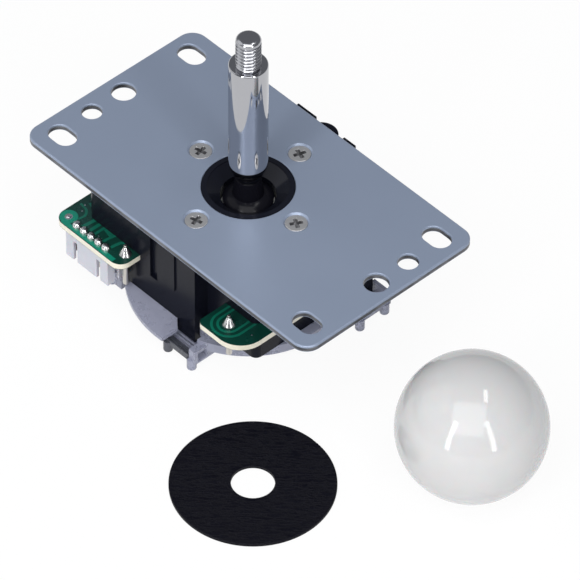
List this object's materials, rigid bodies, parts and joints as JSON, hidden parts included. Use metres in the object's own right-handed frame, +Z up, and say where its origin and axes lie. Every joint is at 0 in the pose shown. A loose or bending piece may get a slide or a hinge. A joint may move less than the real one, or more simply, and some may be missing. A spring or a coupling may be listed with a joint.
{
  "type": "arcade joystick lever",
  "caption": "Arcade joystick lever: chrome shaft in a ball socket under a slotted steel plate, with a circuit board, switches, clear gate, ball knob and dust disc.",
  "frame": {"origin": "on the lever's axis at the mounting plate's top face", "axes": "+Z up along the lever, +X along the plate's long side away from the connector, +Y across the plate to the back"},
  "size_m": [0.1408, 0.0873, 0.082],
  "materials": {
    "plate_steel": "satin",
    "screw_steel": "bright",
    "black_housing": "glossy",
    "clear_gate": "frosted clear",
    "board_green": "satin lacquer",
    "solder": "bright",
    "connector_white": "satin",
    "terminal_metal": "tinned",
    "switch_black": "satin",
    "switch_cover_grey": "satin",
    "plunger_red": "satin",
    "blade_brass": "bright",
    "liner_white": "smooth",
    "black_pivot": "glossy",
    "lever_chrome": "polished",
    "actuator_black": "satin",
    "ring_steel": "dark",
    "collar_white": "satin",
    "spring_steel": "bright",
    "knob_white": "glossy",
    "insert_brass": "bright",
    "disc_black": "grained"
  },
  "bodies": {
    "base": {"mounting_plate": "plate_steel", "plate_screws": "screw_steel", "housing": "black_housing", "gate_frame": "clear_gate", "gate_insert": "clear_gate", "circuit_board": "board_green", "solder_joints": "solder", "connector_housing": "connector_white", "connector_pins": "terminal_metal", "board_posts": "terminal_metal", "ball_knob": "knob_white", "knob_insert": "insert_brass", "dust_disc": "disc_black", "switch_case_front": "switch_black", "switch_cover_front": "switch_cover_grey", "switch_blade_front": "blade_brass", "switch_terminals_front": "terminal_metal", "switch_case_right": "switch_black", "switch_cover_right": "switch_cover_grey", "switch_blade_right": "blade_brass", "switch_terminals_right": "terminal_metal", "switch_case_back": "switch_black", "switch_cover_back": "switch_cover_grey", "switch_blade_back": "blade_brass", "switch_terminals_back": "terminal_metal", "switch_case_left": "switch_black", "switch_cover_left": "switch_cover_grey", "switch_blade_left": "blade_brass", "switch_terminals_left": "terminal_metal"},
    "liner": {"pivot_liner": "liner_white"},
    "pivot": {"pivot_ball": "black_pivot"},
    "lever": {"lever_shaft": "lever_chrome", "actuator": "actuator_black", "retaining_ring": "ring_steel", "centring_spring": "spring_steel"},
    "collar": {"spring_collar": "collar_white"},
    "plunger_front": {"switch_plunger_front": "plunger_red"},
    "plunger_right": {"switch_plunger_right": "plunger_red"},
    "plunger_back": {"switch_plunger_back": "plunger_red"},
    "plunger_left": {"switch_plunger_left": "plunger_red"}
  },
  "joints": [
    {"name": "tilt_along_plate", "type": "hinge", "parent": "base", "child": "liner", "pos_m": [0, 0, -0.0055], "axis": [0, 1, 0], "range_deg": [-10, 10], "stiffness_Nm_per_rad": 0.4},
    {"name": "tilt_across_plate", "type": "hinge", "parent": "liner", "child": "pivot", "pos_m": [0, 0, -0.0055], "axis": [1, 0, 0], "range_deg": [-10, 10], "stiffness_Nm_per_rad": 0.4},
    {"name": "lever_spin", "type": "hinge", "parent": "pivot", "child": "lever", "pos_m": [0, 0, -0.0055], "axis": [0, 0, 1], "continuous": true},
    {"name": "collar_slide", "type": "slide", "parent": "pivot", "child": "collar", "axis": [0, 0, 1], "range_m": [-0.0012, 0], "stiffness_N_per_m": 1500, "springref_m": 0.003, "deforming": ["centring_spring"]},
    {"name": "plunger_press_front", "type": "slide", "parent": "base", "child": "plunger_front", "axis": [0, -1, 0], "range_m": [0, 0.0008], "stiffness_N_per_m": 400, "springref_m": -0.0008},
    {"name": "plunger_press_right", "type": "slide", "parent": "base", "child": "plunger_right", "axis": [1, 0, 0], "range_m": [0, 0.0008], "stiffness_N_per_m": 400, "springref_m": -0.0008},
    {"name": "plunger_press_back", "type": "slide", "parent": "base", "child": "plunger_back", "axis": [0, 1, 0], "range_m": [0, 0.0008], "stiffness_N_per_m": 400, "springref_m": -0.0008},
    {"name": "plunger_press_left", "type": "slide", "parent": "base", "child": "plunger_left", "axis": [-1, 0, 0], "range_m": [0, 0.0008], "stiffness_N_per_m": 400, "springref_m": -0.0008}
  ]
}
